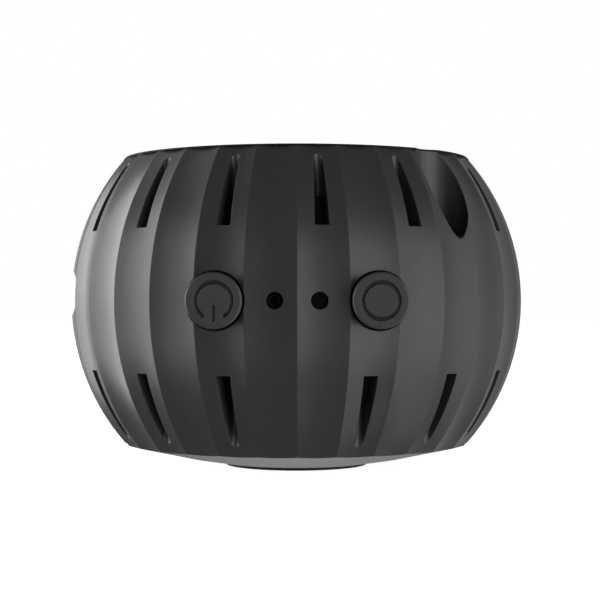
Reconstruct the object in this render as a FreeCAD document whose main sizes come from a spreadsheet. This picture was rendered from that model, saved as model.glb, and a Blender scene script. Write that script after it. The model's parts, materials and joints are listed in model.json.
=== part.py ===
import FreeCAD, Part
import math
import os
import re
import Sketcher

# Fluted round camera body that stands on a small foot. The origin is the middle of the
# foot's underside, +Z is up, and -Y is the side with the two buttons. Heights inside the
# camera are measured from the equator, the widest level of the body. Directions are
# angles about the upright axis, measured from -Y towards +X. All sizes in millimetres.

SIZES = {
    # Body
    "body_radius": 40.0,
    "side_arc": 38.36,
    "rim_half": 25.2,
    "rim_ring": 0.3,
    "lip_drop": 0.95,
    "flute_depth": 0.63,
    "flute_depth_rim": 0.53,
    "wall": 2.33,
    "cavity_half": 5.0,
    "collar_length": 8.55,
    "rim_width": 4.16,
    "ledge_width": 2.0,
    "seat_depth": 3.0,
    "cover_gap": 0.1,
    "cut_over": 1.0,
    # Vent slots
    "slot_length": 13.35,
    "slot_reach": 8.45,
    "slot_inner_width": 1.5,
    "slot_outer_width": 2.95,
    "slot_end_radius": 0.8,
    # Power pocket in the shoulder
    "pocket_angle": 44.9,
    "pocket_setback": 6.15,
    "pocket_radius": 4.25,
    "pocket_floor": 0.5,
    "pocket_wall": 1.5,
    "plug_pin_radius": 0.8,
    "plug_pin_top": 7.5,
    "dc_socket_height": 3.0,
    "dc_tail_radius": 2.4,
    "dc_tail_length": 1.0,
    # Data port in the side
    "port_height": 1.5,
    "port_recess_depth": 1.35,
    "port_recess_height": 9.5,
    "port_recess_width": 16.0,
    "port_recess_bevel": 2.3,
    "port_width": 8.94,
    "port_thickness": 3.16,
    "port_length": 7.3,
    "port_metal": 0.3,
    "port_back": 1.0,
    "port_gap": 0.12,
    "port_tongue_inset": 1.2,
    "port_tongue_setback": 0.5,
    "port_tongue_recess": 1.0,
    # Buttons and their switches
    "button_angle": 18.82,
    "button_bore": 4.75,
    "button_radius": 4.42,
    "button_proud": 1.4,
    "button_edge": 0.25,
    "button_flange": 5.1,
    "button_flange_thickness": 0.8,
    "button_flange_gap": 0.48,
    "button_stem": 1.5,
    "button_stem_length": 0.65,
    "button_travel": 0.6,
    "mark_outer": 3.15,
    "mark_inner": 2.5,
    "mark_depth": 0.45,
    "mark_bar_width": 0.65,
    "mark_bar_start": 0.95,
    "mark_bar_end": 2.97,
    "mark_gap_angle": 35.0,
    "plunger_radius": 1.7,
    "plunger_gap": 0.05,
    "plunger_rise": 0.95,
    "plunger_length": 2.85,
    "switch_side": 6.0,
    "switch_height": 3.1,
    "switch_board_side": 7.0,
    "board_thickness": 1.0,
    "bracket_thickness": 1.6,
    "bracket_half_height": 5.0,
    "bracket_middle_width": 4.0,
    "bracket_rib_inner": 5.85,
    "bracket_rib_outer": 7.45,
    "bracket_rib_height": 2.0,
    "wall_gap": 0.3,
    "seat_gap": 0.1,
    # Microphone and status light
    "sensor_hole": 1.375,
    "sensor_angle": 5.02,
    "front_board_setback": 4.34,
    "front_board_half_width": 5.5,
    "front_board_half_height": 4.0,
    "mic_radius": 1.6,
    "mic_height": 2.0,
    "mic_port": 0.8,
    "led_side": 2.0,
    "led_height": 0.8,
    "light_pipe_setback": 1.5,
    "light_pipe_flange": 1.6,
    # Covers and foot
    "seal_thickness": 0.8,
    "seal_inset": 0.2,
    "top_recess": 0.3,
    "snap_width": 6.0,
    "snap_thickness": 1.6,
    "snap_barb": 1.3,
    "snap_edge": 0.4,
    "snap_root": 0.5,
    "snap_gap": 0.3,
    "foot_radius": 12.8,
    "foot_thickness": 1.6,
    "foot_proud": 0.6,
    "foot_edge": 0.25,
    "foot_hole": 5.0,
    "dome_lip": 1.1,
    "dome_drop": 2.45,
    "dome_middle_drop": 1.4,
    "base_inner_wall": 2.7,
    "base_outer_wall": 3.5,
    "base_hollow_depth": 2.0,
    "insert_radius": 4.5,
    "insert_bore": 3.175,
    "insert_length": 9.0,
    "insert_boss": 7.0,
    "base_screw_circle": 10.0,
    "base_screw_radius": 1.25,
    "base_screw_head": 2.3,
    "base_screw_head_height": 1.3,
    "base_screw_length": 12.0,
    "screw_gap": 0.1,
    # Inner frame and what it carries
    "frame_gap": 0.5,
    "frame_plate": 1.6,
    "frame_boss": 3.0,
    "frame_boss_height": 8.0,
    "post_inset": 1.6,
    "post_width": 4.0,
    "post_depth": 3.2,
    "shelf_inset": 2.4,
    "tab_width": 8.0,
    "tab_angle": 30.0,
    "tab_twist": 45.0,
    "tab_overlap": 2.9,
    "tab_thickness": 1.5,
    "notch_gap": 0.4,
    "main_board_front": 4.0,
    "main_board_thickness": 1.6,
    "main_board_inset": 0.2,
    "main_board_lift": 7.9,
    "main_board_drop": 1.0,
    "board_screw_inset": 2.1,
    "board_screw_margin": 2.5,
    "board_screw_radius": 0.85,
    "board_screw_head": 1.6,
    "board_screw_head_height": 1.1,
    "board_screw_length": 4.4,
    "heat_sink_side": 16.0,
    "heat_sink_base": 1.5,
    "heat_sink_fin": 5.0,
    "heat_sink_fin_thickness": 1.0,
    "battery_side_inset": 10.9,
    "battery_front_inset": 4.4,
    "battery_back": -10.5,
    "battery_headroom": 1.9,
    "battery_round": 2.0,
    "cradle_wall": 1.0,
    "cradle_height": 16.0,
    "cradle_short": 1.5,
    "speaker_radius": 10.0,
    "speaker_height": 4.5,
    "speaker_step": 1.0,
    "speaker_cone": 7.5,
    "speaker_cap": 2.5,
    "speaker_headroom": 2.4,
    "antenna_length": 24.0,
    "antenna_height": 5.0,
    "antenna_thickness": 0.8,
    "antenna_inset": 7.2,
    # Data port board
    "port_board_half_width": 7.0,
    "port_board_setback": 1.04,
    "port_board_gap": 1.3,
    "port_board_thickness": 1.2,
    # Lens side
    "lens_bore": 12.0,
    "bezel_radius": 11.9,
    "bezel_proud": 1.4,
    "bezel_edge": 0.5,
    "bezel_opening": 9.0,
    "bezel_flange": 13.3,
    "bezel_flange_gap": 0.37,
    "bezel_flange_thickness": 1.4,
    "window_radius": 10.2,
    "window_thickness": 1.2,
    "window_recess": 1.0,
    "holder_flange": 12.9,
    "holder_flange_thickness": 1.8,
    "holder_radius": 7.6,
    "holder_foot": 9.0,
    "holder_foot_thickness": 1.8,
    "holder_depth": 23.2,
    "lens_radius": 6.0,
    "lens_back": 3.8,
    "lens_depth": 3.2,
    "lens_aperture": 4.4,
    "front_lens_radius": 5.1,
    "front_lens_thickness": 1.4,
    "front_lens_edge": 0.47,
    "front_lens_curve": 14.0,
    "front_lens_setback": 1.0,
    "rear_lens_back": 5.8,
    "rear_lens_thickness": 2.0,
    "sensor_board_side": 18.0,
    "sensor_board_thickness": 1.2,
    "image_sensor_side": 7.0,
    "image_sensor_height": 1.0,
    "ir_board_depth": 5.4,
    "ir_board_bore": 6.4,
    "ir_led_circle": 7.6,
    "ir_led_side": 1.6,
    "ir_led_height": 1.2,
    "bezel_screw_circle": 10.45,
    "bezel_screw_radius": 0.8,
    "bezel_screw_head": 1.5,
    "bezel_screw_head_height": 1.1,
    "bezel_screw_length": 5.0,
}

# Counts
FLUTES = 30
SCREWS = 3
LEDS = 6
HEAT_SINK_FINS = 6
LOFT_SECTIONS = 5
LOFT_DEGREE = 5
END_BULGE = 0.51

# Places that follow from the sizes, each an expression. Levels are heights from the equator.
PLACES = {
    "pitch": "360 / %d" % FLUTES,
    "rim_radius": "body_radius - side_arc + sqrt(pow(side_arc; 2) - pow(rim_half; 2))",
    "inner_radius": "body_radius - flute_depth - wall",
    "seat_radius": "rim_radius - rim_width",
    "seat_level": "rim_half - seat_depth",
    "collar_bore": "seat_radius - ledge_width",
    "collar_half": "rim_half - collar_length",
    "collar_wall": "inner_radius - side_arc + sqrt(pow(side_arc; 2) - pow(collar_half; 2))",
    "shell_top": "rim_half - rim_ring",
    "ring_radius": "body_radius - side_arc + sqrt(pow(side_arc; 2) - pow(shell_top; 2))",
    "shell_lip": "rim_half + lip_drop",
    "equator_height": "shell_lip + dome_drop + foot_proud",
    "slot_start": "rim_half - slot_length",
    "slot_tip": "body_radius - slot_reach",
    "pocket_centre": "body_radius - pocket_setback",
    "pocket_x": "pocket_centre * sin(pocket_angle)",
    "pocket_y": "-pocket_centre * cos(pocket_angle)",
    "port_face": "body_radius - port_recess_depth - seat_gap",
    "port_board_outer": "inner_radius - port_board_setback",
    "port_board_inner": "frame_radius - port_board_gap",
    "cover_radius": "seat_radius - cover_gap",
    "top_level": "seat_level + seal_thickness",
    "base_level": "-seat_level - seal_thickness",
    "base_underside": "foot_thickness - equator_height",
    "dome_low": "-shell_lip - dome_drop",
    "dome_inner": "foot_radius + dome_lip",
    "dome_middle": "(dome_inner + cover_radius) / 2",
    "base_hollow_inner": "foot_radius + base_inner_wall",
    "base_hollow_outer": "cover_radius - base_outer_wall",
    "frame_radius": "collar_bore - frame_gap",
    "frame_top": "base_level + frame_plate",
    "post_outer": "frame_radius - post_inset",
    "post_inner": "post_outer - post_width",
    "shelf_radius": "frame_radius - shelf_inset",
    "shelf_level": "top_level - speaker_headroom - speaker_height - frame_plate",
    "shelf_top": "shelf_level + frame_plate",
    "tab_inner": "frame_radius - shelf_inset",
    "tab_reach": "collar_bore + tab_overlap",
    "main_board_half_width": "post_outer - main_board_inset",
    "main_board_top": "shelf_level - main_board_drop",
    "main_board_bottom": "frame_top + main_board_lift",
    "board_back": "main_board_front + main_board_thickness",
    "board_screw_side": "post_outer - board_screw_inset",
    "board_screw_top": "main_board_top - board_screw_margin",
    "board_screw_bottom": "main_board_bottom + board_screw_margin",
    "battery_half_width": "frame_radius - battery_side_inset",
    "battery_front": "battery_front_inset - frame_radius",
    "battery_top": "shelf_level - battery_headroom",
    "cradle_side": "battery_half_width + seat_gap",
    "antenna_back": "shelf_radius - antenna_inset",
    "button_offset": "body_radius * sin(button_angle)",
    "button_reach": "body_radius + button_proud",
    "button_flange_top":
        "sqrt(pow(inner_radius; 2) - pow(button_offset + button_flange; 2)) - button_flange_gap",
    "button_flange_base": "button_flange_top - button_flange_thickness",
    "plunger_top": "button_flange_base - button_stem_length",
    "plunger_base": "plunger_top - plunger_length",
    "switch_top": "plunger_top - plunger_rise",
    "switch_level": "switch_top - switch_height",
    "switch_board_level": "switch_level - board_thickness",
    "bracket_outer": "switch_board_level - seat_gap",
    "bracket_inner": "bracket_outer - bracket_thickness",
    "bracket_half_width": "button_offset + switch_board_side / 2",
    "bracket_rib_top": "sqrt(pow(inner_radius; 2) - pow(bracket_rib_outer; 2)) - wall_gap",
    "sensor_offset": "body_radius * sin(sensor_angle)",
    "front_board_level": "inner_radius - front_board_setback",
    "front_level": "front_board_level + board_thickness",
    "pipe_level": "front_level + led_height + seat_gap",
    "pipe_seat":
        "sqrt(pow(inner_radius; 2) - pow(sensor_offset + mic_radius; 2)) - seat_gap",
    "bezel_front": "body_radius + bezel_proud",
    "bezel_seat": "bezel_front - window_recess - window_thickness",
    "bezel_flange_top":
        "sqrt(pow(inner_radius; 2) - pow(bezel_flange; 2)) - bezel_flange_gap",
    "bezel_flange_back": "bezel_flange_top - bezel_flange_thickness",
    "holder_top": "bezel_flange_back - seat_gap",
    "holder_back": "holder_top - holder_flange_thickness",
    "holder_start": "bezel_front - holder_depth",
    "lens_start": "holder_start + lens_back",
    "lens_front": "bezel_front - lens_depth",
    "front_lens_level": "lens_front - front_lens_setback - front_lens_thickness",
    "rear_lens_start": "holder_start + rear_lens_back",
    "ir_board_level": "bezel_front - ir_board_depth",
}

doc = FreeCAD.newDocument("camera")
sheet = doc.addObject("Spreadsheet::Sheet", "sizes")
for row, (alias, size) in enumerate(SIZES.items(), start=1):
    sheet.set("A%d" % row, alias)
    sheet.set("B%d" % row, str(size))
    sheet.setAlias("B%d" % row, alias)
doc.recompute()

parts = []


def spell(expression, prefix=""):
    """Write every place in an expression out in sizes, each with the prefix."""
    def word(match):
        name = match.group()
        if name in PLACES:
            return "(" + spell(PLACES[name], prefix) + ")"
        return prefix + name if name in SIZES else name
    return re.sub(r"[A-Za-z_][A-Za-z_0-9]*", word, expression)


def link(expression):
    """An expression as another object reads it from the sheet."""
    return spell(expression, "sizes.")


def amount(expression):
    """The present value of an expression."""
    return float(sheet.evalExpression(spell(expression)))


def bind(item, **sizes):
    for prop, expression in sizes.items():
        item.setExpression(prop, link(expression))
    return item


def stand(item, level="equator_height"):
    """Set an upright piece with its zero height at the equator."""
    item.setExpression("Placement.Base.z", link(level))
    return item


def face(item, angle="0", across="0"):
    """Turn a piece so that its own Z points outward at this angle, at the equator and
    this far across the camera."""
    place = "placement(vector(%s; 0; equator_height); rotation(vector(0; 0; 1); %s)"
    place = place % (across, angle) + " * rotation(vector(1; 0; 0); 90))"
    item.setExpression("Placement", link(place))
    return item


def body(label):
    piece = doc.addObject("PartDesign::Body", label)
    piece.Label = label
    parts.append(piece)
    return piece


def origin_item(piece, role):
    return [item for item in piece.Origin.OriginFeatures if item.Role == role][0]


def sketch(piece, plane="XY_Plane", lift="0", turn=None, swing=None):
    """A new sketch on an origin plane, lifted along its normal, and turned about its
    normal or swung about its own vertical axis."""
    drawing = piece.newObject("Sketcher::SketchObject", piece.Name + "_sketch")
    drawing.AttachmentSupport = [(origin_item(piece, plane), "")]
    drawing.MapMode = "FlatFace"
    for angle, axis in ((turn, FreeCAD.Vector(0, 0, 1)), (swing, FreeCAD.Vector(0, 1, 0))):
        if angle is not None:
            spin = FreeCAD.Rotation(axis, amount(angle))
            drawing.AttachmentOffset = FreeCAD.Placement(FreeCAD.Vector(), spin)
            drawing.setExpression("AttachmentOffset.Rotation.Angle", link(angle))
    if lift != "0":
        drawing.setExpression("AttachmentOffset.Base.z", link(lift))
    return drawing


def limit(drawing, kind, *where_and_size):
    """Add one dimension to a sketch and bind it to the sheet."""
    where = where_and_size[:-1]
    expression = where_and_size[-1]
    index = drawing.addConstraint(Sketcher.Constraint(kind, *where, amount(expression)))
    drawing.setExpression("Constraints[%d]" % index, link(expression))


def outline(drawing, corners):
    """Draw a closed profile. A corner is (x, y), or (x, y, radius, turn) where an arc
    runs to the next corner, counter-clockwise for turn +1 and clockwise for -1."""
    points = [FreeCAD.Vector(amount(c[0]), amount(c[1]), 0) for c in corners]
    starts, ends = [], []
    for index, corner in enumerate(corners):
        here = points[index]
        there = points[(index + 1) % len(points)]
        if len(corner) == 2:
            edge = drawing.addGeometry(Part.LineSegment(here, there), False)
            starts.append((edge, 1))
            ends.append((edge, 2))
            continue
        radius = amount(corner[2])
        along = there - here
        left = FreeCAD.Vector(-along.y, along.x, 0).normalize()
        rise = math.sqrt(radius ** 2 - (along.Length / 2) ** 2)
        centre = here + along * 0.5 + left * (rise * corner[3])
        ring = Part.Circle(centre, FreeCAD.Vector(0, 0, 1), radius)
        first, last = (here, there) if corner[3] > 0 else (there, here)
        angles = [math.atan2(p.y - centre.y, p.x - centre.x) for p in (first, last)]
        edge = drawing.addGeometry(Part.ArcOfCircle(ring, angles[0], angles[1]), False)
        starts.append((edge, 1 if corner[3] > 0 else 2))
        ends.append((edge, 2 if corner[3] > 0 else 1))
    for index, corner in enumerate(corners):
        drawing.addConstraint(Sketcher.Constraint("Coincident", *ends[index - 1], *starts[index]))
        limit(drawing, "DistanceX", *starts[index], corner[0])
        limit(drawing, "DistanceY", *starts[index], corner[1])
        if len(corner) > 2:
            limit(drawing, "Radius", starts[index][0], corner[2])
    return drawing


def rectangle(drawing, left, bottom, right, top):
    return outline(drawing, [(left, bottom), (right, bottom), (right, top), (left, top)])


def circle(drawing, x, y, radius):
    middle = FreeCAD.Vector(amount(x), amount(y), 0)
    ring = Part.Circle(middle, FreeCAD.Vector(0, 0, 1), amount(radius))
    edge = drawing.addGeometry(ring, False)
    limit(drawing, "DistanceX", edge, 3, x)
    limit(drawing, "DistanceY", edge, 3, y)
    limit(drawing, "Radius", edge, radius)
    return drawing


def circle_of_holes(drawing, count, ring_radius, radius, first="0"):
    for index in range(count):
        angle = "(%s + %d * 360 / %d)" % (first, index, count)
        circle(drawing, "%s * cos(%s)" % (ring_radius, angle),
               "%s * sin(%s)" % (ring_radius, angle), radius)
    return drawing


def pad(drawing, length, reverse=False, midplane=False):
    piece = drawing.getParentGeoFeatureGroup()
    feature = piece.newObject("PartDesign::Pad", piece.Name + "_pad")
    feature.Profile = drawing
    feature.Reversed = reverse
    feature.Midplane = midplane
    return bind(feature, Length=length)


def pocket(drawing, length=None, reverse=False, midplane=False):
    piece = drawing.getParentGeoFeatureGroup()
    feature = piece.newObject("PartDesign::Pocket", piece.Name + "_pocket")
    feature.Profile = drawing
    feature.Reversed = reverse
    feature.Midplane = midplane
    if length is None:
        feature.Type = "ThroughAll"
        return feature
    return bind(feature, Length=length)


def revolve(drawing, kind="Revolution"):
    piece = drawing.getParentGeoFeatureGroup()
    feature = piece.newObject("PartDesign::" + kind, piece.Name + "_" + kind.lower())
    feature.Profile = drawing
    feature.ReferenceAxis = (drawing, ["V_Axis"])
    feature.Angle = 360
    return feature


def repeat(feature, count, span, reverse=False):
    """Copy a feature round the piece's Z axis over the span, an expression in degrees."""
    piece = feature.getParentGeoFeatureGroup()
    pattern = piece.newObject("PartDesign::PolarPattern", piece.Name + "_pattern")
    pattern.Originals = [feature]
    pattern.Axis = (origin_item(piece, "Z_Axis"), [""])
    pattern.Reversed = reverse
    pattern.Occurrences = count
    piece.Tip = pattern
    return bind(pattern, Angle=span)


def turned(label, corners):
    """A round piece, drawn as half of its section: radius, then distance along Z."""
    piece = body(label)
    revolve(outline(sketch(piece, "XZ_Plane"), corners))
    return piece


def slab(label, width, height, start, thickness):
    """A flat board centred on its own Z axis."""
    piece = body(label)
    drawing = sketch(piece, lift=start)
    rectangle(drawing, "-%s / 2" % width, "-%s / 2" % height, "%s / 2" % width, "%s / 2" % height)
    pad(drawing, thickness)
    return piece


def block(label, left, front, bottom, right, back, top):
    """An upright box between two corners, measured from the equator."""
    piece = doc.addObject("Part::Box", label)
    piece.Label = label
    parts.append(piece)
    bind(piece, Length="%s - (%s)" % (right, left), Width="%s - (%s)" % (back, front),
         Height="%s - (%s)" % (top, bottom))
    piece.setExpression("Placement.Base.x", link(left))
    piece.setExpression("Placement.Base.y", link(front))
    return stand(piece, "equator_height + (%s)" % bottom)


# Fluted blank: cross-sections of concave flutes between sharp ridges, from lip to rim
def flute_section(level):
    ridge = amount("body_radius - side_arc")
    ridge += math.sqrt(amount("side_arc") ** 2 - level ** 2)
    share = (level / amount("rim_half")) ** 2
    depth = amount("flute_depth") * (1 - share) + amount("flute_depth_rim") * share
    half = math.pi / FLUTES
    floor = ridge * math.cos(half) - (depth - amount("body_radius") * (1 - math.cos(half)))
    edges = []
    for index in range(FLUTES):
        middle = 2 * half * (index + 0.5) - math.pi / 2
        spots = [(ridge, middle - half), (floor, middle), (ridge, middle + half)]
        arc = [FreeCAD.Vector(r * math.cos(a), r * math.sin(a), level) for r, a in spots]
        edges.append(Part.Arc(*arc).toShape())
    return Part.Wire(edges)


low, high = amount("-shell_lip"), amount("shell_top")
levels = [low + (high - low) * index / (LOFT_SECTIONS - 1) for index in range(LOFT_SECTIONS)]
fluted_blank = doc.addObject("Part::Feature", "fluted_blank")
sections = [flute_section(level) for level in levels]
fluted_blank.Shape = Part.makeLoft(sections, True, False, False, LOFT_DEGREE)

# Hollow of the shell, with a ledge for each cover and a boss left for the power pocket
hollow = doc.addObject("PartDesign::Body", "hollow")
revolve(outline(sketch(hollow, "XZ_Plane"), [
    ("0", "-shell_lip"),
    ("seat_radius", "-shell_lip"),
    ("seat_radius", "-seat_level"),
    ("collar_bore", "-seat_level"),
    ("collar_bore", "-collar_half"),
    ("collar_wall", "-collar_half"),
    ("inner_radius", "-cavity_half"),
    ("inner_radius", "cavity_half"),
    ("collar_wall", "collar_half"),
    ("collar_bore", "collar_half"),
    ("collar_bore", "seat_level"),
    ("seat_radius", "seat_level"),
    ("seat_radius", "rim_half"),
    ("0", "rim_half")]))
pocket_boss = doc.addObject("Part::Cylinder", "pocket_boss")
bind(pocket_boss, Radius="pocket_radius + pocket_wall", Height="collar_half + pocket_wall")
pocket_boss.setExpression("Placement.Base.x", link("pocket_x"))
pocket_boss.setExpression("Placement.Base.y", link("pocket_y"))
pocket_boss.setExpression("Placement.Base.z", link("pocket_floor - pocket_wall"))
hollow_space = doc.addObject("Part::Cut", "hollow_space")
hollow_space.Base = hollow
hollow_space.Tool = pocket_boss
shell_blank = doc.addObject("Part::Cut", "shell_blank")
shell_blank.Base = fluted_blank
shell_blank.Tool = hollow_space

# Barrel shell
shell = body("barrel_shell")
shell.BaseFeature = shell_blank
stand(shell)
revolve(outline(sketch(shell, "XZ_Plane"), [
    ("seat_radius", "-shell_lip"),
    ("body_radius", "-rim_half + lip_drop * (body_radius - rim_radius) / rim_width"),
    ("body_radius", "-shell_lip - cut_over"),
    ("seat_radius", "-shell_lip - cut_over")]), "Groove")


def slot_sketch(turn, lift):
    """Plan of one radial vent slot, round at its inner end and wider outside."""
    inner = "slot_tip + slot_end_radius / 2"
    return outline(sketch(shell, lift=lift, turn=turn), [
        (inner, "slot_inner_width / 2", "slot_end_radius", 1),
        (inner, "-slot_inner_width / 2"),
        ("body_radius + cut_over", "-slot_outer_width / 2"),
        ("body_radius + cut_over", "slot_outer_width / 2")])


def slot_row(first, count, upper, clockwise):
    """A row of vent slots, one to every second flute, from the first angle round."""
    lift = "slot_start" if upper else "-slot_start"
    cut = pocket(slot_sketch(first + " - 90", lift), reverse=upper)
    repeat(cut, count, "%d * 2 * pitch" % (count - 1), clockwise)


slot_row("2.5 * pitch", 9, True, True)
slot_row("5.5 * pitch", 5, True, False)
slot_row("1.5 * pitch", 7, False, False)
slot_row("-1.5 * pitch", 7, False, True)

plug_pocket = sketch(shell, lift="pocket_floor")
circle(plug_pocket, "pocket_x", "pocket_y", "pocket_radius")
pocket(plug_pocket, reverse=True)
tail_hole = sketch(shell, lift="pocket_floor")
circle(tail_hole, "pocket_x", "pocket_y", "dc_tail_radius + screw_gap")
pocket(tail_hole, "pocket_wall + cut_over")

front_holes = sketch(shell, "XZ_Plane")
for side in ("", "-"):
    circle(front_holes, side + "button_offset", "0", "button_bore")
    circle(front_holes, side + "sensor_offset", "0", "sensor_hole")
pocket(front_holes, "body_radius + cut_over", reverse=True)
lens_hole = sketch(shell, "XZ_Plane")
circle(lens_hole, "0", "0", "lens_bore")
pocket(lens_hole, "body_radius + cut_over")

port_recess = sketch(shell, "XZ_Plane")
outline(port_recess, [
    ("port_recess_depth - body_radius", "port_height - port_recess_height / 2 + port_recess_bevel"),
    ("port_recess_depth - body_radius", "port_height + port_recess_height / 2 - port_recess_bevel"),
    ("-body_radius", "port_height + port_recess_height / 2"),
    ("-body_radius - cut_over", "port_height + port_recess_height / 2"),
    ("-body_radius - cut_over", "port_height - port_recess_height / 2"),
    ("-body_radius", "port_height - port_recess_height / 2")])
pocket(port_recess, "port_recess_width", midplane=True)


def stadium(drawing, width, thickness, height):
    """A slot shape with round ends, wide along the sketch's X."""
    half_run = "(%s - %s) / 2" % (width, thickness)
    top = "%s + (%s) / 2" % (height, thickness)
    bottom = "%s - (%s) / 2" % (height, thickness)
    bulge = "(%s) * %s" % (thickness, END_BULGE)
    return outline(drawing, [
        (half_run, bottom, bulge, 1), (half_run, top),
        ("-" + half_run, top, bulge, 1), ("-" + half_run, bottom)])


port_hole = sketch(shell, "YZ_Plane")
stadium(port_hole, "(port_width + 2 * port_gap)", "(port_thickness + 2 * port_gap)", "port_height")
pocket(port_hole, "body_radius + cut_over")

tab_notch = sketch(shell, lift="-seat_level", turn="tab_angle + tab_twist")
rectangle(tab_notch, "collar_bore - cut_over", "-tab_width / 2 - notch_gap",
          "tab_reach + notch_gap", "tab_width / 2 + notch_gap")
repeat(pocket(tab_notch, "seat_level - collar_half", reverse=True), SCREWS, "360")

# Top cover, held by three snap hooks under the upper collar
top_cover = stand(turned("top_cover", [
    ("0", "top_level"),
    ("cover_radius", "top_level"),
    ("cover_radius", "rim_half - top_recess"),
    ("0", "rim_half - top_recess")]))
hook = outline(sketch(top_cover, "XZ_Plane"), [
    ("collar_bore - snap_gap - snap_thickness", "top_level + snap_root"),
    ("collar_bore - snap_gap - snap_thickness", "collar_half - snap_gap - snap_barb"),
    ("collar_bore - snap_gap", "collar_half - snap_gap - snap_barb"),
    ("collar_bore - snap_gap + snap_barb", "collar_half - snap_gap - snap_edge"),
    ("collar_bore - snap_gap + snap_barb", "collar_half - snap_gap"),
    ("collar_bore - snap_gap", "collar_half - snap_gap"),
    ("collar_bore - snap_gap", "top_level + snap_root")])
repeat(pad(hook, "snap_width", midplane=True), SCREWS, "360")

# Thin ring on the top rim, open where the power pocket breaks through
rim_ring = stand(turned("rim_ring", [
    ("seat_radius", "shell_top"),
    ("ring_radius", "shell_top"),
    ("rim_radius", "rim_half"),
    ("seat_radius", "rim_half")]))
pocket(circle(sketch(rim_ring, lift="rim_half"), "pocket_x", "pocket_y", "pocket_radius"), "rim_ring")

# Seals between the covers and their ledges
for label, level in (("top_seal", "seat_level"), ("base_seal", "base_level")):
    stand(turned(label, [
        ("collar_bore + seal_inset", level),
        ("seat_radius - 2 * seal_inset", level),
        ("seat_radius - 2 * seal_inset", level + " + seal_thickness"),
        ("collar_bore + seal_inset", level + " + seal_thickness")]))

# Base cover: shallow dome, hollow ring inside, boss for the threaded insert
base_cover = stand(turned("base_cover", [
    ("insert_radius", "base_underside"),
    ("foot_radius + cover_gap", "base_underside"),
    ("foot_radius + cover_gap", "dome_low"),
    ("dome_inner", "dome_low"),
    ("dome_middle", "-shell_lip - dome_middle_drop"),
    ("cover_radius", "-shell_lip"),
    ("cover_radius", "base_level"),
    ("base_hollow_outer", "base_level"),
    ("base_hollow_outer", "base_level - base_hollow_depth"),
    ("base_hollow_inner", "base_level - base_hollow_depth"),
    ("base_hollow_inner", "base_level"),
    ("insert_boss", "base_level"),
    ("insert_boss", "base_underside + insert_length"),
    ("insert_radius", "base_underside + insert_length")]))
head_holes = sketch(base_cover, lift="base_underside")
circle_of_holes(head_holes, SCREWS, "base_screw_circle", "base_screw_head + screw_gap", "90")
pocket(head_holes, "base_screw_head_height + screw_gap", reverse=True)
shank_holes = sketch(base_cover, lift="base_underside")
circle_of_holes(shank_holes, SCREWS, "base_screw_circle", "base_screw_radius + screw_gap", "90")
pocket(shank_holes, "base_level - base_underside", reverse=True)

# Rubber foot with a hole for the mounting screw
foot_pad = stand(turned("foot_pad", [
    ("foot_hole", "-equator_height"),
    ("foot_radius - foot_edge", "-equator_height"),
    ("foot_radius", "-equator_height + foot_edge"),
    ("foot_radius", "base_underside"),
    ("foot_hole", "base_underside")]))

# Threaded brass insert for a tripod screw
tripod_insert = stand(turned("tripod_insert", [
    ("insert_bore", "base_underside"),
    ("insert_radius", "base_underside"),
    ("insert_radius", "base_underside + insert_length"),
    ("insert_bore", "base_underside + insert_length")]))


def separate_screws(label, spots, seat, sizes, place):
    """Pan-head screws as separate solids in one piece, heads outside the seat."""
    shank, length, head, head_height = sizes
    solids = []
    for number, (x, y) in enumerate(spots, start=1):
        rod = doc.addObject("Part::Cylinder", "%s_shank_%d" % (label, number))
        bind(rod, Radius=shank, Height=length)
        cap = doc.addObject("Part::Cylinder", "%s_head_%d" % (label, number))
        bind(cap, Radius=head, Height=head_height)
        for solid, level in ((rod, seat), (cap, "%s - %s" % (seat, head_height))):
            solid.setExpression("Placement.Base.x", link(x))
            solid.setExpression("Placement.Base.y", link(y))
            solid.setExpression("Placement.Base.z", link(level))
        screw = doc.addObject("Part::Fuse", "%s_%d" % (label, number))
        screw.Base = rod
        screw.Tool = cap
        solids.append(screw)
    group = doc.addObject("Part::Compound", label)
    group.Label = label
    group.Links = solids
    parts.append(group)
    return place(group)


def ring_spots(count, ring_radius, first):
    spots = []
    for index in range(count):
        angle = "(%s + %d * 360 / %d)" % (first, index, count)
        spots.append(("%s * cos(%s)" % (ring_radius, angle), "%s * sin(%s)" % (ring_radius, angle)))
    return spots


separate_screws("base_screws", ring_spots(SCREWS, "base_screw_circle", "90"),
                "(base_underside + base_screw_head_height)",
                ("base_screw_radius", "base_screw_length", "base_screw_head",
                 "base_screw_head_height"), stand)

# Inner frame: floor plate with screw bosses and locking tabs, two posts and a shelf
frame = stand(body("inner_frame"))
plate = sketch(frame, lift="base_level")
circle(plate, "0", "0", "frame_radius")
circle(plate, "0", "0", "insert_boss + screw_gap")
pad(plate, "frame_plate")
bosses = sketch(frame, lift="base_level")
circle_of_holes(bosses, SCREWS, "base_screw_circle", "frame_boss", "90")
pad(bosses, "frame_plate + frame_boss_height")
boss_holes = sketch(frame, lift="base_level")
circle_of_holes(boss_holes, SCREWS, "base_screw_circle", "base_screw_radius", "90")
for side in ("", "-"):
    post = sketch(frame, lift="frame_top")
    edges = ("-post_outer", "-post_inner") if side else ("post_inner", "post_outer")
    rectangle(post, edges[0], "board_back", edges[1], "board_back + post_depth")
    pad(post, "shelf_level - frame_top")
shelf = sketch(frame, lift="shelf_level")
circle(shelf, "0", "0", "shelf_radius")
pad(shelf, "frame_plate")
tab = outline(sketch(frame, "XZ_Plane", swing="tab_angle"), [
    ("tab_inner", "base_level"),
    ("frame_radius", "base_level"),
    ("frame_radius", "-collar_half + seat_gap"),
    ("tab_reach", "-collar_half + seat_gap"),
    ("tab_reach", "-collar_half + seat_gap + tab_thickness"),
    ("tab_inner", "-collar_half + seat_gap + tab_thickness")])
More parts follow.
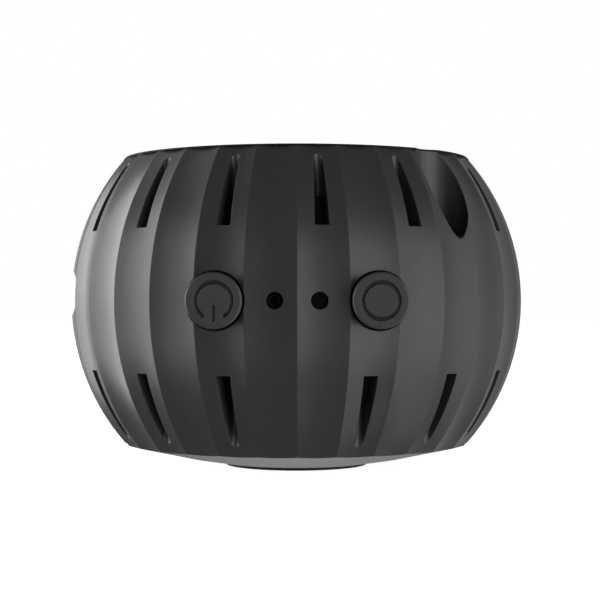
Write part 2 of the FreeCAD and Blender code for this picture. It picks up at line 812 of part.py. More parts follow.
repeat(pad(tab, "tab_width", midplane=True), SCREWS, "360")
pocket(boss_holes, "frame_plate + frame_boss_height", reverse=True)
BOARD_SPOTS = [(x, y) for x in ("-board_screw_side", "board_screw_side")
               for y in ("board_screw_bottom", "board_screw_top")]
board_holes = sketch(frame, "XZ_Plane", lift="-board_back")
for x, y in BOARD_SPOTS:
    circle(board_holes, x, y, "board_screw_radius")
pocket(board_holes, "post_depth")

# Main board with its heat sink, screwed to the front of the posts
main_board = stand(body("main_board"))
board_plan = sketch(main_board, "XZ_Plane", lift="-board_back")
rectangle(board_plan, "-main_board_half_width", "main_board_bottom",
          "main_board_half_width", "main_board_top")
for x, y in BOARD_SPOTS:
    circle(board_plan, x, y, "board_screw_radius + screw_gap")
pad(board_plan, "main_board_thickness")


def face_back(item):
    """Turn a piece so that its own Z points to the lens side, at the equator."""
    return face(item, "180")


separate_screws("board_screws", BOARD_SPOTS, "main_board_front",
                ("board_screw_radius", "board_screw_length", "board_screw_head",
                 "board_screw_head_height"), face_back)
heat_sink = slab("heat_sink", "heat_sink_side", "heat_sink_side", "board_back", "heat_sink_base")
face_back(heat_sink)
fins = sketch(heat_sink, lift="board_back + heat_sink_base")
for index in range(HEAT_SINK_FINS):
    left = "(-heat_sink_side / 2 + %d * (heat_sink_side - heat_sink_fin_thickness) / %d)"
    left = left % (index, HEAT_SINK_FINS - 1)
    rectangle(fins, left, "-heat_sink_side / 2", left + " + heat_sink_fin_thickness",
              "heat_sink_side / 2")
pad(fins, "heat_sink_fin")

# Battery in its cradle on the floor plate
battery = block("battery_cell", "-battery_half_width", "battery_front", "frame_top",
                "battery_half_width", "battery_back", "battery_top")
parts.remove(battery)
battery_pack = doc.addObject("Part::Fillet", "battery_pack")
battery_pack.Label = "battery_pack"
battery_pack.Base = battery
doc.recompute()
upright = [number for number, edge in enumerate(battery.Shape.Edges, start=1)
           if abs(edge.tangentAt(edge.FirstParameter).z) > 0.9]
battery_pack.Edges = [(number, amount("battery_round"), amount("battery_round"))
                      for number in upright]
parts.append(battery_pack)
cradle = stand(body("battery_cradle"))
cradle_plan = outline(sketch(cradle, lift="frame_top"), [
    ("cradle_side", "battery_front + cradle_short"),
    ("cradle_side + cradle_wall", "battery_front + cradle_short"),
    ("cradle_side + cradle_wall", "battery_back + seat_gap + cradle_wall"),
    ("-cradle_side - cradle_wall", "battery_back + seat_gap + cradle_wall"),
    ("-cradle_side - cradle_wall", "battery_front + cradle_short"),
    ("-cradle_side", "battery_front + cradle_short"),
    ("-cradle_side", "battery_back + seat_gap"),
    ("cradle_side", "battery_back + seat_gap")])
pad(cradle_plan, "cradle_height")

# Speaker and antenna on the shelf
speaker = stand(turned("speaker", [
    ("0", "shelf_top"),
    ("speaker_radius - speaker_step", "shelf_top"),
    ("speaker_radius - speaker_step", "shelf_top + speaker_height / 2"),
    ("speaker_radius", "shelf_top + speaker_height / 2"),
    ("speaker_radius", "shelf_top + speaker_height"),
    ("speaker_cone", "shelf_top + speaker_height"),
    ("speaker_cap", "shelf_top + speaker_height / 2"),
    ("0", "shelf_top + speaker_height / 2")]))
block("wifi_antenna", "-antenna_length / 2", "antenna_back", "shelf_top",
      "antenna_length / 2", "antenna_back + antenna_thickness", "shelf_top + antenna_height")

# Bracket behind the buttons: a plate with a middle pad and four ribs that reach the wall
bracket = face(body("switch_bracket"))
bracket_plate = sketch(bracket, lift="bracket_inner")
rectangle(bracket_plate, "-bracket_half_width", "-bracket_half_height", "bracket_half_width",
          "bracket_half_height")
pad(bracket_plate, "bracket_thickness")
middle_pad = sketch(bracket, lift="bracket_outer")
rectangle(middle_pad, "-bracket_middle_width / 2", "-front_board_half_height",
          "bracket_middle_width / 2", "front_board_half_height")
pad(middle_pad, "front_board_level - seat_gap - bracket_outer")
ribs = sketch(bracket, lift="bracket_outer")
for left, right in (("bracket_rib_inner", "bracket_rib_outer"),
                    ("-bracket_rib_outer", "-bracket_rib_inner")):
    rectangle(ribs, left, "bracket_half_height - bracket_rib_height", right, "bracket_half_height")
    rectangle(ribs, left, "-bracket_half_height", right, "bracket_rib_height - bracket_half_height")
pad(ribs, "bracket_rib_top - bracket_outer")

# Switches: a small board square to each button, the switch on it and its plunger
for side, across in (("left", "-button_offset"), ("right", "button_offset")):
    face(slab(side + "_switch_board", "switch_board_side", "switch_board_side",
              "switch_board_level", "board_thickness"), across=across)
    switch = face(slab(side + "_switch", "switch_side", "switch_side", "switch_level",
                       "switch_height"), across=across)
    well = circle(sketch(switch, lift="switch_top"), "0", "0", "plunger_radius + plunger_gap")
    pocket(well, "switch_top - plunger_base + button_travel + plunger_gap")
    face(turned(side + "_plunger", [
        ("0", "plunger_base"),
        ("plunger_radius", "plunger_base"),
        ("plunger_radius", "plunger_top"),
        ("0", "plunger_top")]), across=across)


def button(label, across):
    """A round push button with a flange inside the wall and a stem to the switch."""
    return face(turned(label, [
        ("0", "plunger_top"),
        ("button_stem", "plunger_top"),
        ("button_stem", "button_flange_base"),
        ("button_flange", "button_flange_base"),
        ("button_flange", "button_flange_top"),
        ("button_radius", "button_flange_top"),
        ("button_radius", "button_reach - button_edge"),
        ("button_radius - button_edge", "button_reach"),
        ("0", "button_reach")]), across=across)


# Power button, marked with an open ring and a bar, and function button, with a ring
power_button = button("power_button", "-button_offset")
open_ring = sketch(power_button, lift="button_reach")
LEFT_END = "(270 - mark_gap_angle)"
RIGHT_END = "(mark_gap_angle - 90)"
RING_END = "(mark_outer - mark_inner) * %s" % END_BULGE
BAR_END = "mark_bar_width * %s" % END_BULGE
outline(open_ring, [
    ("mark_outer * cos(%s)" % RIGHT_END, "mark_outer * sin(%s)" % RIGHT_END, "mark_outer", 1),
    ("0", "mark_outer", "mark_outer", 1),
    ("mark_outer * cos(%s)" % LEFT_END, "mark_outer * sin(%s)" % LEFT_END, RING_END, 1),
    ("mark_inner * cos(%s)" % LEFT_END, "mark_inner * sin(%s)" % LEFT_END, "mark_inner", -1),
    ("0", "mark_inner", "mark_inner", -1),
    ("mark_inner * cos(%s)" % RIGHT_END, "mark_inner * sin(%s)" % RIGHT_END, RING_END, 1)])
pocket(open_ring, "mark_depth")
bar = sketch(power_button, lift="button_reach")
outline(bar, [
    ("mark_bar_width / 2", "-mark_bar_end"),
    ("mark_bar_width / 2", "-mark_bar_start", BAR_END, 1),
    ("-mark_bar_width / 2", "-mark_bar_start"),
    ("-mark_bar_width / 2", "-mark_bar_end", BAR_END, 1)])
pocket(bar, "mark_depth")
function_button = button("function_button", "button_offset")
ring_mark = sketch(function_button, lift="button_reach")
circle(ring_mark, "0", "0", "mark_outer")
circle(ring_mark, "0", "0", "mark_inner")
pocket(ring_mark, "mark_depth")

# Front board between the buttons, with the microphone and the status light
front_board = face(body("front_board"))
front_plan = sketch(front_board, lift="front_board_level")
rectangle(front_plan, "-front_board_half_width", "-front_board_half_height",
          "front_board_half_width", "front_board_half_height")
pad(front_plan, "board_thickness")
microphone = face(body("microphone"))
pad(circle(sketch(microphone, lift="front_level"), "-sensor_offset", "0", "mic_radius"), "mic_height")
mic_gasket = face(body("mic_gasket"))
gasket_plan = sketch(mic_gasket, lift="front_level + mic_height")
circle(gasket_plan, "-sensor_offset", "0", "mic_radius")
circle(gasket_plan, "-sensor_offset", "0", "mic_port")
pad(gasket_plan, "pipe_seat - front_level - mic_height")
status_led = face(body("status_led"))
led_plan = sketch(status_led, lift="front_level")
rectangle(led_plan, "sensor_offset - led_side / 2", "-led_side / 2",
          "sensor_offset + led_side / 2", "led_side / 2")
pad(led_plan, "led_height")
light_pipe = face(body("light_pipe"))
pipe_foot = circle(sketch(light_pipe, lift="pipe_level"),
                   "sensor_offset", "0", "light_pipe_flange")
pad(pipe_foot, "pipe_seat - pipe_level")
pipe_rod = circle(sketch(light_pipe, lift="pipe_level"),
                  "sensor_offset", "0", "sensor_hole - plunger_gap")
pad(pipe_rod, "body_radius - light_pipe_setback - pipe_level")

# Data socket and its board on the left side
usb_socket = stand(body("usb_socket"))
outer_shape = sketch(usb_socket, "YZ_Plane", lift="-port_face")
stadium(outer_shape, "port_width", "port_thickness", "port_height")
pad(outer_shape, "port_length")
mouth = sketch(usb_socket, "YZ_Plane", lift="-port_face")
stadium(mouth, "(port_width - 2 * port_metal)", "(port_thickness - 2 * port_metal)", "port_height")
pocket(mouth, "port_length - port_back", reverse=True)
tongue = sketch(usb_socket, "YZ_Plane", lift="port_tongue_recess - port_face")
rectangle(tongue, "-port_width / 2 + port_tongue_inset", "port_height - port_metal",
          "port_width / 2 - port_tongue_inset", "port_height + port_metal")
pad(tongue, "port_length - port_back - port_tongue_setback")
block("usb_board", "-port_board_outer", "-port_board_half_width",
      "port_height - port_thickness / 2 - port_board_thickness",
      "-port_board_inner", "port_board_half_width", "port_height - port_thickness / 2")

# Power socket at the bottom of the shoulder pocket
dc_socket = stand(body("dc_socket"))


def pocket_ring(level, radius):
    return circle(sketch(dc_socket, lift=level), "pocket_x", "pocket_y", radius)


pad(pocket_ring("pocket_floor", "pocket_radius - cover_gap"), "dc_socket_height")
pad(pocket_ring("pocket_floor", "plug_pin_radius"), "plug_pin_top - pocket_floor")
pad(pocket_ring("pocket_floor", "dc_tail_radius"), "pocket_wall + dc_tail_length", reverse=True)

# Lens side, from the outside in
bezel = face_back(turned("lens_bezel", [
    ("bezel_opening", "bezel_flange_back"),
    ("bezel_flange", "bezel_flange_back"),
    ("bezel_flange", "bezel_flange_top"),
    ("bezel_radius", "bezel_flange_top"),
    ("bezel_radius", "bezel_front - bezel_edge"),
    ("bezel_radius - bezel_edge", "bezel_front"),
    ("window_radius + seat_gap", "bezel_front"),
    ("window_radius + seat_gap", "bezel_seat"),
    ("bezel_opening", "bezel_seat")]))
bezel_holes = sketch(bezel, lift="bezel_flange_back")
circle_of_holes(bezel_holes, SCREWS, "bezel_screw_circle", "bezel_screw_radius", "90")
pocket(bezel_holes, "bezel_screw_length - holder_flange_thickness", reverse=True)
face_back(turned("lens_window", [
    ("0", "bezel_seat"),
    ("window_radius", "bezel_seat"),
    ("window_radius", "bezel_seat + window_thickness"),
    ("0", "bezel_seat + window_thickness")]))
holder = face_back(turned("lens_holder", [
    ("lens_radius", "holder_start"),
    ("holder_foot", "holder_start"),
    ("holder_foot", "holder_start + holder_foot_thickness"),
    ("holder_radius", "holder_start + holder_foot_thickness"),
    ("holder_radius", "holder_back"),
    ("holder_flange", "holder_back"),
    ("holder_flange", "holder_top"),
    ("lens_radius", "holder_top")]))
holder_holes = sketch(holder, lift="holder_back")
circle_of_holes(holder_holes, SCREWS, "bezel_screw_circle", "bezel_screw_radius + screw_gap", "90")
pocket(holder_holes, "holder_flange_thickness", reverse=True)
separate_screws("bezel_screws", ring_spots(SCREWS, "bezel_screw_circle", "90"), "holder_back",
                ("bezel_screw_radius", "bezel_screw_length", "bezel_screw_head",
                 "bezel_screw_head_height"), face_back)
face_back(turned("lens_barrel", [
    ("lens_aperture", "lens_start"),
    ("lens_radius", "lens_start"),
    ("lens_radius", "lens_front"),
    ("front_lens_radius", "lens_front"),
    ("front_lens_radius", "front_lens_level"),
    ("lens_aperture", "front_lens_level")]))
face_back(turned("front_lens", [
    ("0", "front_lens_level"),
    ("front_lens_radius", "front_lens_level"),
    ("front_lens_radius", "front_lens_level + front_lens_edge", "front_lens_curve", 1),
    ("0", "front_lens_level + front_lens_edge + front_lens_curve"
     " - sqrt(pow(front_lens_curve; 2) - pow(front_lens_radius; 2))")]))
face_back(turned("rear_lens", [
    ("0", "rear_lens_start"),
    ("lens_aperture", "rear_lens_start"),
    ("lens_aperture", "rear_lens_start + rear_lens_thickness"),
    ("0", "rear_lens_start + rear_lens_thickness")]))
face_back(slab("sensor_board", "sensor_board_side", "sensor_board_side",
               "holder_start - sensor_board_thickness", "sensor_board_thickness"))
face_back(slab("image_sensor", "image_sensor_side", "image_sensor_side", "holder_start",
               "image_sensor_height"))
face_back(turned("ir_board", [
    ("ir_board_bore", "ir_board_level"),
    ("bezel_opening - seat_gap", "ir_board_level"),
    ("bezel_opening - seat_gap", "ir_board_level + board_thickness"),
    ("ir_board_bore", "ir_board_level + board_thickness")]))
led_solids = []
for number, (x, y) in enumerate(ring_spots(LEDS, "ir_led_circle", "30"), start=1):
    led = doc.addObject("Part::Box", "ir_led_%d" % number)
    bind(led, Length="ir_led_side", Width="ir_led_side", Height="ir_led_height")
    led.setExpression("Placement.Base.x", link(x + " - ir_led_side / 2"))
    led.setExpression("Placement.Base.y", link(y + " - ir_led_side / 2"))
    led.setExpression("Placement.Base.z", link("ir_board_level + board_thickness"))
    led_solids.append(led)
ir_leds = doc.addObject("Part::Compound", "ir_leds")
ir_leds.Label = "ir_leds"
ir_leds.Links = led_solids
parts.append(face_back(ir_leds))

doc.recompute()

# Nothing is written unless every step of every piece is sound
for item in doc.Objects:
    if "Invalid" in item.State or "Error" in item.State:
        raise RuntimeError("%s (%s) failed: %s" % (item.Name, item.TypeId, item.State))
    if item.TypeId in ("PartDesign::Pocket", "PartDesign::Groove"):
        if item.Shape.Volume > item.BaseFeature.Shape.Volume - 0.001:
            raise RuntimeError("%s cuts nothing" % item.Name)
for piece in parts:
    if piece.Shape.isNull() or not piece.Shape.isValid():
        raise RuntimeError("%s has no sound shape" % piece.Label)

os.makedirs("parts", exist_ok=True)
for piece in parts:
    piece.Shape.exportStep("parts/%s.step" % piece.Label)
    print(piece.Label, len(piece.Shape.Solids), round(piece.Shape.Volume, 2))
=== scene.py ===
import json
import math
import bmesh
import bpy
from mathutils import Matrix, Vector


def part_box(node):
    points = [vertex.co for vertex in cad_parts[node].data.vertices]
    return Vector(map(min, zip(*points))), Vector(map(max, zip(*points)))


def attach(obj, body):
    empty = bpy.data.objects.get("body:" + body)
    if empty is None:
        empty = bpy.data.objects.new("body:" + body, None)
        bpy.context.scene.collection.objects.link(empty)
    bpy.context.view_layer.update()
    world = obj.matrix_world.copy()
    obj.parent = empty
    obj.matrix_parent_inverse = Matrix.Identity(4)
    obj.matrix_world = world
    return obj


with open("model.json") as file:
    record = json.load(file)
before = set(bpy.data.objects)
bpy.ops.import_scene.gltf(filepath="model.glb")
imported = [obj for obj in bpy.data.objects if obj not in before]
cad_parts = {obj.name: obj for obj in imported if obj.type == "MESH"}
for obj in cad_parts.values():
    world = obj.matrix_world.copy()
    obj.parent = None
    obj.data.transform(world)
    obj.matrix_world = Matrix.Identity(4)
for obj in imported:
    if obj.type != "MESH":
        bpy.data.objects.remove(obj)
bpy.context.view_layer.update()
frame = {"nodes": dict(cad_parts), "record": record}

MM = 0.001
FRONT = Vector((0, -1, 0))
BACK = Vector((0, 1, 0))
UP = Vector((0, 0, 1))
WHITE = (1, 1, 1, 1)

# Camera of the photograph: focal length and distance found from the ridges and rims
PHOTO_PIXELS = 600
FOCAL_PIXELS = 1568.5
SENSOR_WIDTH = 36.0
CAMERA_DISTANCE = 0.2818
CAMERA_TURN = math.radians(0.19)
AXIS_LEFT_OF_MIDDLE = 3.7
EQUATOR_BELOW_MIDDLE = 0.65
BUTTON_LOW, BUTTON_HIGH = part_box("power_button")
EQUATOR = (BUTTON_LOW.z + BUTTON_HIGH.z) / 2


def make_camera():
    data = bpy.data.cameras.new("camera")
    data.sensor_width = SENSOR_WIDTH
    data.lens = FOCAL_PIXELS / PHOTO_PIXELS * SENSOR_WIDTH
    data.shift_x = AXIS_LEFT_OF_MIDDLE / PHOTO_PIXELS
    data.shift_y = EQUATOR_BELOW_MIDDLE / PHOTO_PIXELS
    data.clip_start = 0.01
    camera = bpy.data.objects.new("camera", data)
    camera.location = (-CAMERA_DISTANCE * math.sin(CAMERA_TURN),
                       -CAMERA_DISTANCE * math.cos(CAMERA_TURN), EQUATOR)
    camera.rotation_euler = (math.radians(90), 0, -CAMERA_TURN)
    bpy.context.scene.collection.objects.link(camera)
    bpy.context.scene.camera = camera
    bpy.context.scene.view_settings.view_transform = "Standard"


make_camera()


# Studio light
def soft_box(name, azimuth, elevation, across, high, radiance):
    """A soft light a metre away that faces the object and covers the angles across and
    high. Azimuth 0 is the viewer's side, and positive is to the right."""
    data = bpy.data.lights.new(name, "AREA")
    data.shape = "RECTANGLE"
    data.size = 2 * math.tan(math.radians(across) / 2)
    data.size_y = 2 * math.tan(math.radians(high) / 2)
    data.energy = radiance * math.pi * data.size * data.size_y
    lamp = bpy.data.objects.new(name, data)
    a, e = math.radians(azimuth), math.radians(elevation)
    direction = Vector((math.sin(a) * math.cos(e), -math.cos(a) * math.cos(e), math.sin(e)))
    lamp.location = Vector((0, 0, EQUATOR)) + direction
    lamp.rotation_euler = direction.to_track_quat("Z", "Y").to_euler()
    lamp.visible_camera = False
    bpy.context.scene.collection.objects.link(lamp)


# Long soft boxes stand upright left and right of the viewer and leave the front dark, as in
# the photograph. The lower ones shine up through the floor, as on a light table.
soft_box("key_left_high", azimuth=-112, elevation=14, across=60, high=28, radiance=3.25)
soft_box("key_left_low", azimuth=-112, elevation=-11, across=60, high=22, radiance=2.5)
soft_box("fill_left", azimuth=-67, elevation=2, across=30, high=60, radiance=1.5)
soft_box("fill_right", azimuth=8, elevation=0, across=30, high=60, radiance=0.33)
soft_box("key_right", azimuth=45, elevation=0, across=45, high=60, radiance=1.75)
soft_box("side_right", azimuth=82, elevation=0, across=30, high=60, radiance=1.1)
soft_box("back_right", azimuth=135, elevation=0, across=75, high=60, radiance=0.26)
soft_box("top_left", azimuth=-112, elevation=45, across=41, high=30, radiance=0.6)
soft_box("under_right", azimuth=67, elevation=-45, across=41, high=30, radiance=0.9)
soft_box("under_back", azimuth=172, elevation=-45, across=41, high=30, radiance=1.7)


# Node trees
class Graph:
    """A node tree that is built by calls: each returns a node or its first result, and a
    socket given as a value is linked."""

    def __init__(self, tree):
        self.tree = tree
        tree.nodes.clear()

    def put(self, socket, value):
        if isinstance(value, bpy.types.NodeSocket):
            self.tree.links.new(value, socket)
        else:
            socket.default_value = value

    def add(self, kind, inputs=None, **settings):
        node = self.tree.nodes.new("ShaderNode" + kind)
        for name, value in settings.items():
            setattr(node, name, value)
        for name, value in (inputs or {}).items():
            self.put(node.inputs[name], value)
        return node

    def maths(self, operation, first, second=0.0, third=0.0):
        node = self.add("Math", {0: first, 1: second, 2: third}, operation=operation)
        return node.outputs[0]

    def between(self, value, low, high, out_low=0.0, out_high=1.0):
        node = self.add("MapRange", {"Value": value, "From Min": low, "From Max": high,
                                     "To Min": out_low, "To Max": out_high})
        return node.outputs[0]

    def mix(self, factor, first, second):
        node = self.add("Mix", {"Factor": factor}, data_type="RGBA")
        for socket, value in zip(node.inputs[6:8], (first, second)):
            self.put(socket, value)
        return node.outputs[2]

    def noise(self, place, scale, detail=2.0, roughness=0.5):
        node = self.add("TexNoise", {"Vector": place, "Scale": scale, "Detail": detail,
                                     "Roughness": roughness})
        return node.outputs[0]

    def stretch(self, place, x, y, z):
        node = self.add("VectorMath", {0: place, 1: (x, y, z)}, operation="MULTIPLY")
        return node.outputs[0]

    def bump(self, strength, distance, height, normal=None):
        inputs = {"Strength": strength, "Distance": distance, "Height": height}
        if normal:
            inputs["Normal"] = normal
        return self.add("Bump", inputs).outputs[0]

    def finish(self, **inputs):
        """The surface, with a shader socket's name written with _ for a space."""
        named = {name.replace("_", " "): value for name, value in inputs.items()}
        shader = self.add("BsdfPrincipled", named)
        self.add("OutputMaterial", {"Surface": shader.outputs[0]})


def grey(level):
    return (level, level, level, 1.0)


# World and floor, with the strengths that the object and the eye get from each
WORLD_LIGHT = 0.08
WORLD_GLOSS = 0.1
FLOOR_RADIUS = 3.0
FLOOR_PAINT = 0.85
FLOOR_GLOW = 0.93
FLOOR_GLOSS = 0.08


def background_seen(g, path):
    """1 where the eye meets the background, directly or straight through glass."""
    bounces = g.maths("ADD", path["Diffuse Depth"], path["Glossy Depth"])
    straight = g.maths("LESS_THAN", bounces, 0.5)
    through = g.maths("MULTIPLY", path["Is Transmission Ray"], straight)
    return g.maths("MAXIMUM", path["Is Camera Ray"], through)


def make_world():
    """White to the eye and in glass, pale in gloss, and a dim even light on the object."""
    world = bpy.data.worlds.new("studio")
    bpy.context.scene.world = world
    world.use_nodes = True
    g = Graph(world.node_tree)
    path = g.add("LightPath").outputs
    strength = g.between(path["Is Glossy Ray"], 0, 1, WORLD_LIGHT, WORLD_GLOSS)
    dim = g.add("Background", {"Color": WHITE, "Strength": strength})
    white = g.add("Background", {"Color": WHITE, "Strength": 1.0})
    both = g.add("MixShader", {0: background_seen(g, path), 1: dim.outputs[0],
                               2: white.outputs[0]})
    g.add("OutputWorld", {"Surface": both.outputs[0]})


def make_floor():
    """A pale floor, lit through like a light table, that keeps the object's soft shadow.
    From below it isn't seen, so that the underside can be looked at."""
    mesh = bpy.data.meshes.new("floor")
    b = bmesh.new()
    bmesh.ops.create_circle(b, cap_ends=True, radius=FLOOR_RADIUS, segments=64)
    b.to_mesh(mesh)
    b.free()
    floor = bpy.data.objects.new("floor", mesh)
    bpy.context.scene.collection.objects.link(floor)
    material = bpy.data.materials.new("floor_paint")
    material.use_nodes = True
    g = Graph(material.node_tree)
    path = g.add("LightPath").outputs
    from_above = g.maths("SUBTRACT", 1.0, g.add("NewGeometry").outputs["Backfacing"])
    seen = g.maths("MULTIPLY", background_seen(g, path), from_above)
    paint = g.add("BsdfDiffuse", {"Color": grey(FLOOR_PAINT)})
    glow = g.add("Emission", {"Color": WHITE, "Strength": FLOOR_GLOW})
    top = g.add("AddShader", {0: paint.outputs[0], 1: glow.outputs[0]})
    gloss = g.maths("MULTIPLY", path["Is Glossy Ray"], FLOOR_GLOSS)
    mirrored = g.add("Emission", {"Color": WHITE, "Strength": gloss})
    clear = g.add("BsdfTransparent", {"Color": WHITE})
    through = g.add("AddShader", {0: clear.outputs[0], 1: mirrored.outputs[0]})
    both = g.add("MixShader", {0: seen, 1: through.outputs[0], 2: top.outputs[0]})
    g.add("OutputMaterial", {"Surface": both.outputs[0]})
    mesh.materials.append(material)


make_world()
make_floor()


# Materials. The scale of a noise is per metre, and depths and radii are in metres.
MATCH_OFF_EDGE = 0.995
MATCH_AT_EDGE = 0.80


def start(name):
    material = bpy.data.materials.new(name)
    material.use_nodes = True
    g = Graph(material.node_tree)
    place = g.add("TexCoord").outputs["Object"]
    return material, g, place


def shade(colour, strength=1.0):
    return tuple(min(1.0, c * strength) for c in colour) + (1.0,)


def soft_edges(g, radius):
    """The surface normal with small rounded edges, and how near an edge is, 0 to 1."""
    round_normal = g.add("Bevel", {"Radius": radius}, samples=6).outputs[0]
    flat_normal = g.add("NewGeometry").outputs["Normal"]
    match = g.add("VectorMath", {0: round_normal, 1: flat_normal}, operation="DOT_PRODUCT")
    return round_normal, g.between(match.outputs["Value"], MATCH_OFF_EDGE, MATCH_AT_EDGE)


def moulded(name, colour, roughness, grain=3200, depth=0.00002, wear_and_highlight=0.25, edge=0.00022,
            specular=0.5, coat=0.0):
    """Satin moulded plastic with an eroded grain, faint flow marks and polished edges
    that are painted paler, partly as rubbed wear and partly as a painted highlight.
    Grain is the scale of the texture and depth its height, edge is the radius of the
    edges, and wear_and_highlight is how much paler the edges are painted."""
    material, g, place = start(name)
    round_normal, near_edge = soft_edges(g, edge)
    flow = g.noise(place, scale=45.0, detail=3.0)
    fine = g.noise(place, scale=grain, detail=3.0, roughness=0.6)
    dust = g.noise(place, scale=420.0, detail=4.0, roughness=0.65)
    tone = g.mix(flow, shade(colour, 0.9), shade(colour, 1.12))
    specks = g.maths("MULTIPLY", g.between(dust, 0.45, 0.75), 0.25)
    tone = g.mix(specks, tone, shade(colour, 1.5))
    # Edges painted paler: partly rubbed wear, partly a painted highlight along ridges and cap
    # rims
    rub_and_highlight = g.maths("MULTIPLY", near_edge, g.between(dust, 0.3, 0.7, 0.4, 1.0))
    tone = g.mix(g.maths("MULTIPLY", rub_and_highlight, wear_and_highlight), tone, shade(colour, 3.2))
    rough = g.between(fine, 0.3, 0.7, roughness - 0.04, roughness + 0.05)
    rough = g.maths("SUBTRACT", rough, g.maths("MULTIPLY", rub_and_highlight, 0.08))
    g.finish(Base_Color=tone, Roughness=rough, IOR=1.5, Specular_IOR_Level=specular,
             Coat_Weight=coat, Coat_Roughness=0.12,
             Normal=g.bump(strength=0.5, distance=depth, height=fine, normal=round_normal))
    return material


def metal(name, colour, roughness, streaks=(1, 1, 1)):
    """Worked metal: fine streaks from the tool, faint tarnish and bright worn edges. The
    streaks run along the axes with the smallest numbers."""
    material, g, place = start(name)
    round_normal, near_edge = soft_edges(g, radius=0.0001)
    cut = g.noise(g.stretch(place, *streaks), scale=900.0, detail=3.0, roughness=0.6)
    stain = g.noise(place, scale=160.0, detail=4.0, roughness=0.6)
    tone = g.mix(g.between(stain, 0.3, 0.7), shade(colour, 0.78), shade(colour, 1.05))
    tone = g.mix(g.maths("MULTIPLY", near_edge, 0.6), tone, shade(colour, 1.35))
    rough = g.between(cut, 0.3, 0.7, roughness - 0.06, roughness + 0.08)
    rough = g.maths("ADD", rough, g.between(stain, 0.4, 0.8, 0.0, 0.07))
    g.finish(Base_Color=tone, Roughness=rough, Metallic=1.0,
             Normal=g.bump(strength=0.4, distance=0.000008, height=cut, normal=round_normal))
    return material


def circuit_board(name, mask, copper, bare_edge):
    """Solder mask over copper tracks, with the glass weave just showing."""
    material, g, place = start(name)
    round_normal, near_edge = soft_edges(g, radius=0.00008)
    grid = g.add("TexBrick", {"Vector": place, "Scale": 420.0, "Mortar Size": 0.06,
                              "Color1": grey(0.0), "Color2": grey(0.25),
                              "Mortar": WHITE}).outputs[0]
    route = g.between(g.noise(place, scale=260.0, detail=1.0), 0.47, 0.53)
    track = g.maths("MULTIPLY", route, grid)
    weave = g.noise(g.stretch(place, 1.0, 1.0, 3.0), scale=2600.0, detail=1.0)
    tone = g.mix(weave, shade(mask, 0.85), shade(mask, 1.1))
    tone = g.mix(track, tone, shade(copper))
    tone = g.mix(near_edge, tone, shade(bare_edge))
    height = g.maths("MULTIPLY_ADD", weave, 0.1, track)
    g.finish(Base_Color=tone, IOR=1.5, Roughness=g.between(weave, 0.3, 0.7, 0.24, 0.36),
             Normal=g.bump(strength=0.5, distance=0.00003, height=height,
                           normal=round_normal))
    return material


def optical_glass(name, colour, coat, coat_tint):
    """Tinted and coated glass with a trace of dust and a duller edge."""
    material, g, place = start(name)
    round_normal, near_edge = soft_edges(g, radius=0.0001)
    dust = g.noise(place, scale=900.0, detail=4.0, roughness=0.7)
    marks = g.between(dust, 0.6, 0.85)
    tone = g.mix(g.maths("MULTIPLY", near_edge, 0.5), shade(colour, 1.15), shade(colour, 0.5))
    tone = g.mix(g.maths("MULTIPLY", marks, 0.04), tone, grey(0.6))
    rough = g.maths("ADD", g.between(marks, 0.0, 1.0, 0.01, 0.04),
                    g.maths("MULTIPLY", near_edge, 0.25))
    waves = g.noise(place, scale=90.0, detail=0.0)
    g.finish(Base_Color=tone, Roughness=rough, IOR=1.5, Transmission_Weight=1.0,
             Coat_Weight=coat, Coat_Roughness=0.02, Coat_IOR=1.8, Coat_Tint=coat_tint,
             Normal=g.bump(strength=0.05, distance=0.00002, height=waves,
                           normal=round_normal))
    return material


def woven(name, colour, threads):
    """Fine black cloth of crossing threads."""
    material, g, place = start(name)
    lines = [g.add("TexWave", {"Vector": place, "Scale": threads, "Distortion": 0.2},
                   bands_direction=axis, wave_profile="SIN").outputs[0] for axis in "XYZ"]
    weave = g.maths("MAXIMUM", g.maths("MAXIMUM", lines[0], lines[1]), lines[2])
    tone = g.mix(weave, shade(colour, 0.4), shade(colour, 1.6))
    g.finish(Base_Color=tone, IOR=1.45, Specular_IOR_Level=0.1,
             Roughness=g.between(weave, 0.0, 1.0, 0.95, 0.75),
             Normal=g.bump(strength=0.8, distance=0.00005, height=weave))
    return material


def coated_paper(name, colour):
    """Pressed fibres under a thin black coat."""
    material, g, place = start(name)
    fibres = g.noise(g.stretch(place, 1.0, 1.0, 4.0), scale=1800.0, detail=5.0,
                     roughness=0.7)
    blotch = g.noise(place, scale=220.0, detail=2.0)
    tone = g.mix(blotch, shade(colour, 0.7), shade(colour, 1.2))
    tone = g.mix(g.between(fibres, 0.55, 0.75, 0.0, 0.5), tone, shade(colour, 2.2))
    g.finish(Base_Color=tone, IOR=1.45, Roughness=g.between(fibres, 0.3, 0.7, 0.7, 0.9),
             Normal=g.bump(strength=0.7, distance=0.00005, height=fibres))
    return material


